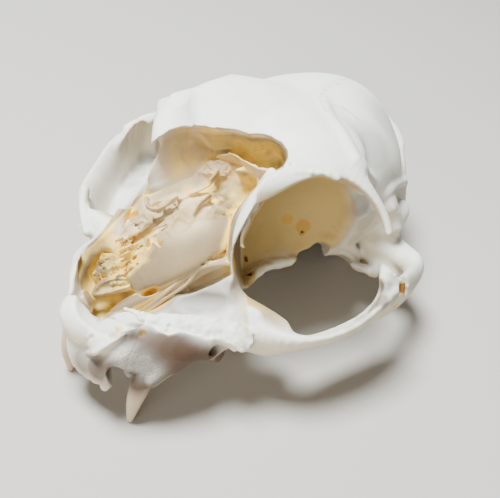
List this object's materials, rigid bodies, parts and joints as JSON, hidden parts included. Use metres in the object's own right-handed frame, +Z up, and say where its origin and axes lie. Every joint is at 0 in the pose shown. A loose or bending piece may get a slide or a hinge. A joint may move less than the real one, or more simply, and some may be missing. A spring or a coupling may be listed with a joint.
{
  "type": "cat skull",
  "caption": "Skull of a domestic cat without its lower jaw, life size, with nose and forehead broken open, resting on its canine teeth and bullae.",
  "frame": {"origin": "on the resting plane, under the middle of the skull's length and width", "axes": "+X to the skull's own left, +Y towards the back of the head, +Z up"},
  "size_m": [0.064, 0.0811, 0.0406],
  "materials": {
    "bone": "matte",
    "base_bone": "matte",
    "ethmoid_bone": "matte",
    "tooth": "satin"
  },
  "bodies": {
    "root": {"incisive": "bone", "maxilla_left": "bone", "maxilla_right": "bone", "palatine": "base_bone", "jugal_left": "bone", "jugal_right": "bone", "frontal_left": "bone", "frontal_right": "bone", "ethmoid": "ethmoid_bone", "parietal_left": "bone", "parietal_right": "bone", "temporal_left": "bone", "temporal_right": "bone", "sphenoid": "base_bone", "bulla_left": "bone", "bulla_right": "bone", "occipital": "bone", "canine_left": "tooth", "canine_right": "tooth"}
  },
  "joints": []
}
